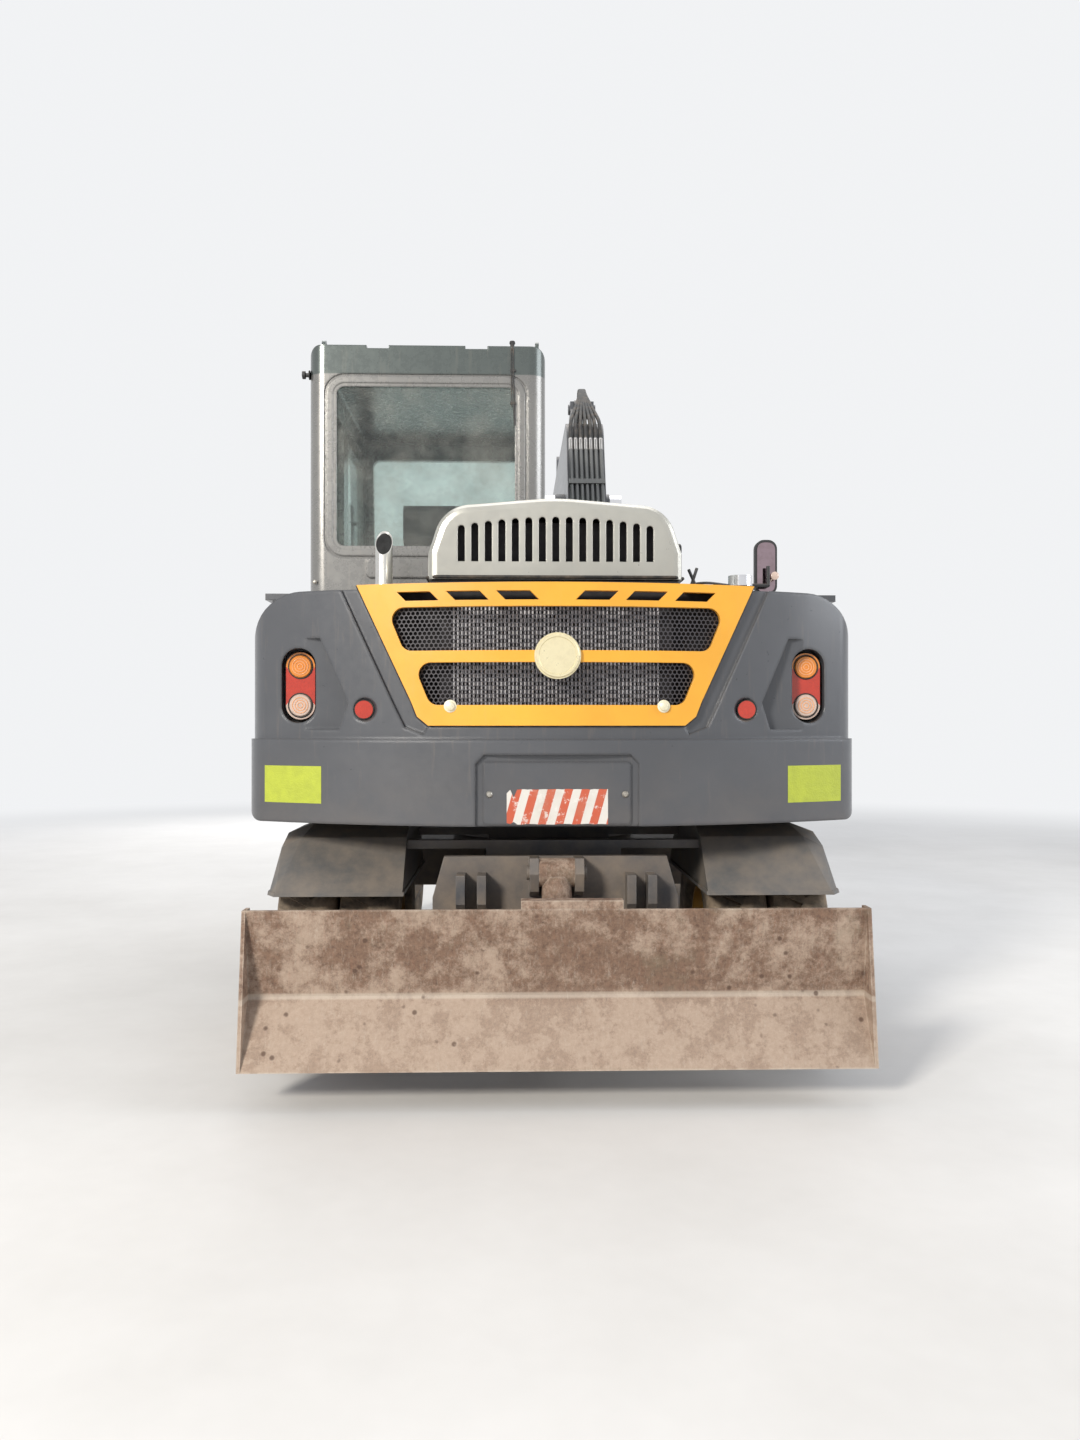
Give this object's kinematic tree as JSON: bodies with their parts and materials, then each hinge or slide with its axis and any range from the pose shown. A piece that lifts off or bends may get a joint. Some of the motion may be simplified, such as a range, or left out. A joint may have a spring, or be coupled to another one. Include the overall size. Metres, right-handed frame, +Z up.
{
  "type": "wheeled excavator",
  "caption": "Six-tonne wheeled excavator with a slewing upper body, cab, boom, arm, bucket, steered front wheels, twin rear wheels and a rear dozer blade.",
  "frame": {"origin": "on the ground, midway between the blade and the bucket and between the sides", "axes": "+Z up, +Y forward to the bucket, +X to the right side of the machine"},
  "size_m": [2.34, 5.2209, 3.2227],
  "materials": {
    "dark_grey_paint": "satin, dusty",
    "axle_paint": "dusty",
    "bright_steel": "greasy",
    "grey_plastic": "moulded",
    "step_paint": "scuffed",
    "rod_chrome": "polished",
    "tyre_rubber": "dusty",
    "rim_paint": "dusty",
    "worn_blade_steel": "rusty, dusty",
    "yellow_paint": "semi-gloss",
    "black_grille": "matt",
    "lamp_lens": "clear",
    "plate_paint": "satin",
    "engine_iron": "oily",
    "pewter_paint": "metallic",
    "exhaust_steel": "bright",
    "window_glass": "clear",
    "seat_cloth": "woven",
    "black_plastic": "grained",
    "hose_rubber": "matt",
    "bucket_steel": "worn"
  },
  "bodies": {
    "chassis": {"chassis_frame": "dark_grey_paint", "rear_axle": "axle_paint", "front_axle": "axle_paint", "driveline": "axle_paint", "mudguards": "grey_plastic", "side_steps": "step_paint", "slew_race": "bright_steel"},
    "knuckle_left": {"knuckle_left": "axle_paint"},
    "knuckle_right": {"knuckle_right": "axle_paint"},
    "tie_rod": {"tie_rod": "bright_steel"},
    "steer_rod": {"steer_rod": "rod_chrome"},
    "wheel_front_left": {"tyre_front_left": "tyre_rubber", "rim_front_left": "rim_paint"},
    "wheel_front_right": {"tyre_front_right": "tyre_rubber", "rim_front_right": "rim_paint"},
    "wheels_rear_left": {"tyres_rear_left": "tyre_rubber", "rims_rear_left": "rim_paint"},
    "wheels_rear_right": {"tyres_rear_right": "tyre_rubber", "rims_rear_right": "rim_paint"},
    "blade": {"dozer_blade": "worn_blade_steel"},
    "blade_barrel": {"blade_barrel": "worn_blade_steel"},
    "blade_rod": {"blade_rod": "rod_chrome"},
    "upper": {"upper_frame": "dark_grey_paint", "counterweight": "dark_grey_paint", "grille_panel": "yellow_paint", "grille_mesh": "black_grille", "tail_lamps": "lamp_lens", "number_plate": "plate_paint", "engine_block": "engine_iron", "top_cover": "dark_grey_paint", "side_tank": "dark_grey_paint", "exhaust_pipe": "exhaust_steel", "cab_frame": "pewter_paint", "cab_glass": "window_glass", "operator_seat": "seat_cloth", "controls": "black_plastic", "mirrors": "black_plastic"},
    "hood": {"engine_hood": "pewter_paint"},
    "side_cover_left": {"cover_left": "dark_grey_paint"},
    "side_cover_right": {"cover_right": "dark_grey_paint"},
    "door": {"cab_door": "pewter_paint", "door_glass": "window_glass"},
    "boom": {"boom": "yellow_paint", "boom_pipes": "hose_rubber"},
    "boom_barrels": {"boom_barrels": "yellow_paint"},
    "boom_rods": {"boom_rods": "rod_chrome"},
    "arm": {"arm": "yellow_paint"},
    "arm_barrel": {"arm_barrel": "yellow_paint"},
    "arm_rod": {"arm_rod": "rod_chrome"},
    "bucket": {"bucket": "bucket_steel"},
    "bucket_barrel": {"bucket_barrel": "yellow_paint"},
    "bucket_rod": {"bucket_rod": "rod_chrome"},
    "rocker": {"rocker": "bucket_steel"},
    "bucket_link": {"bucket_link": "bucket_steel"}
  },
  "joints": [
    {"name": "slew", "type": "hinge", "parent": "chassis", "child": "upper", "pos_m": [0, -0.70045, 0], "axis": [0, 0, 1], "continuous": true},
    {"name": "steer", "type": "hinge", "parent": "chassis", "child": "knuckle_right", "pos_m": [0.6, 0.49955, 0.395], "axis": [0, 0, 1], "range_deg": [-28, 28]},
    {"name": "steer_left", "type": "hinge", "parent": "chassis", "child": "knuckle_left", "pos_m": [-0.6, 0.49955, 0.395], "axis": [0, 0, 1], "range_deg": [-28.5, 28.5]},
    {"name": "tie_rod_swing", "type": "hinge", "parent": "knuckle_left", "child": "tie_rod", "pos_m": [-0.6, 0.29955, 0.335], "axis": [0, 0, 1], "range_deg": [-28.5, 28.5]},
    {"name": "steer_rod_slide", "type": "slide", "parent": "chassis", "child": "steer_rod", "axis": [1, 0, 0], "range_m": [-0.09107, 0.09107]},
    {"name": "wheel_front_left_spin", "type": "hinge", "parent": "knuckle_left", "child": "wheel_front_left", "pos_m": [-0.8, 0.49955, 0.395], "axis": [1, 0, 0], "continuous": true},
    {"name": "wheel_front_right_spin", "type": "hinge", "parent": "knuckle_right", "child": "wheel_front_right", "pos_m": [0.8, 0.49955, 0.395], "axis": [1, 0, 0], "continuous": true},
    {"name": "wheels_rear_left_spin", "type": "hinge", "parent": "chassis", "child": "wheels_rear_left", "pos_m": [-0.766, -1.85045, 0.395], "axis": [1, 0, 0], "continuous": true},
    {"name": "wheels_rear_right_spin", "type": "hinge", "parent": "chassis", "child": "wheels_rear_right", "pos_m": [0.766, -1.85045, 0.395], "axis": [1, 0, 0], "continuous": true},
    {"name": "blade_lift", "type": "hinge", "parent": "chassis", "child": "blade", "pos_m": [0, -2.10045, 0.43], "axis": [-1, 0, 0], "range_deg": [-20, 8]},
    {"name": "blade_barrel_swing", "type": "hinge", "parent": "chassis", "child": "blade_barrel", "pos_m": [0, -2.36445, 0.704], "axis": [1, 0, 0], "range_deg": [-4.05, 10.05]},
    {"name": "blade_rod_slide", "type": "slide", "parent": "blade_barrel", "child": "blade_rod", "axis": [0, -0.2128, -0.9771], "range_m": [-0.04344, 0.10845]},
    {"name": "boom_lift", "type": "hinge", "parent": "upper", "child": "boom", "pos_m": [0.265, -0.42045, 1.22], "axis": [1, 0, 0], "range_deg": [-75, 14]},
    {"name": "boom_barrels_swing", "type": "hinge", "parent": "upper", "child": "boom_barrels", "pos_m": [0.265, -0.06045, 1], "axis": [1, 0, 0], "range_deg": [-83.66, 15.66]},
    {"name": "boom_rods_slide", "type": "slide", "parent": "boom_barrels", "child": "boom_rods", "axis": [0, 0.3077, 0.9515], "range_m": [-0.46781, 0.08741]},
    {"name": "arm_crowd", "type": "hinge", "parent": "boom", "child": "arm", "pos_m": [0.265, 2.23102, 2.82774], "axis": [-1, 0, 0], "range_deg": [-50, 50]},
    {"name": "arm_barrel_swing", "type": "hinge", "parent": "boom", "child": "arm_barrel", "pos_m": [0.265, 0.45121, 3.05965], "axis": [1, 0, 0], "range_deg": [-0.61, 0.61]},
    {"name": "arm_rod_slide", "type": "slide", "parent": "arm_barrel", "child": "arm_rod", "axis": [0, 0.9982, 0.0606], "range_m": [-0.26749, 0.26749]},
    {"name": "bucket_curl", "type": "hinge", "parent": "arm", "child": "bucket", "pos_m": [0.265, 2.18045, 1.21854], "axis": [1, 0, 0], "range_deg": [-75, 70]},
    {"name": "rocker_swing", "type": "hinge", "parent": "arm", "child": "rocker", "pos_m": [0.265, 2.20045, 1.52854], "axis": [1, 0, 0], "range_deg": [-67.37, 62.88]},
    {"name": "link_swing", "type": "hinge", "parent": "rocker", "child": "bucket_link", "pos_m": [0.265, 2.49027, 1.51842], "axis": [1, 0, 0], "range_deg": [-64.31, 68.9]},
    {"name": "bucket_barrel_swing", "type": "hinge", "parent": "arm", "child": "bucket_barrel", "pos_m": [0.265, 2.42102, 2.59774], "axis": [1, 0, 0], "range_deg": [-2.24, 2.09]},
    {"name": "bucket_rod_slide", "type": "slide", "parent": "bucket_barrel", "child": "bucket_rod", "axis": [0, 0.064, -0.9979], "range_m": [-0.26379, 0.28262]},
    {"name": "cab_door_swing", "type": "hinge", "parent": "upper", "child": "door", "pos_m": [-1.027, -0.55645, 1.816], "axis": [0, 0, 1], "range_deg": [0, 150]},
    {"name": "hood_lift", "type": "hinge", "parent": "upper", "child": "hood", "pos_m": [0, -1.38545, 1.982], "axis": [-1, 0, 0], "range_deg": [0, 50]},
    {"name": "cover_left_swing", "type": "hinge", "parent": "upper", "child": "side_cover_left", "pos_m": [-1.035, -1.38845, 1.28], "axis": [0, 0, -1], "range_deg": [0, 80]},
    {"name": "cover_right_swing", "type": "hinge", "parent": "upper", "child": "side_cover_right", "pos_m": [1.035, -1.38845, 1.28], "axis": [0, 0, 1], "range_deg": [0, 80]}
  ],
  "couplings": [
    {"joint": "steer_left", "follows": "steer", "ratio": 1},
    {"joint": "tie_rod_swing", "follows": "steer", "ratio": -1},
    {"joint": "steer_rod_slide", "follows": "steer", "m_per_rad": -0.1825},
    {"joint": "blade_barrel_swing", "follows": "blade_lift", "ratio": -0.4901},
    {"joint": "blade_rod_slide", "follows": "blade_lift", "m_per_rad": -0.3043},
    {"joint": "boom_barrels_swing", "follows": "boom_lift", "ratio": 1.093},
    {"joint": "boom_rods_slide", "follows": "boom_lift", "m_per_rad": 0.3503},
    {"joint": "arm_barrel_swing", "follows": "arm_crowd", "ratio": -0.0102},
    {"joint": "arm_rod_slide", "follows": "arm_crowd", "m_per_rad": 0.3004},
    {"joint": "rocker_swing", "follows": "bucket_curl", "ratio": 0.88},
    {"joint": "link_swing", "follows": "bucket_curl", "ratio": -0.9},
    {"joint": "bucket_barrel_swing", "follows": "bucket_curl", "ratio": 0.0265},
    {"joint": "bucket_rod_slide", "follows": "bucket_curl", "m_per_rad": -0.2116}
  ]
}
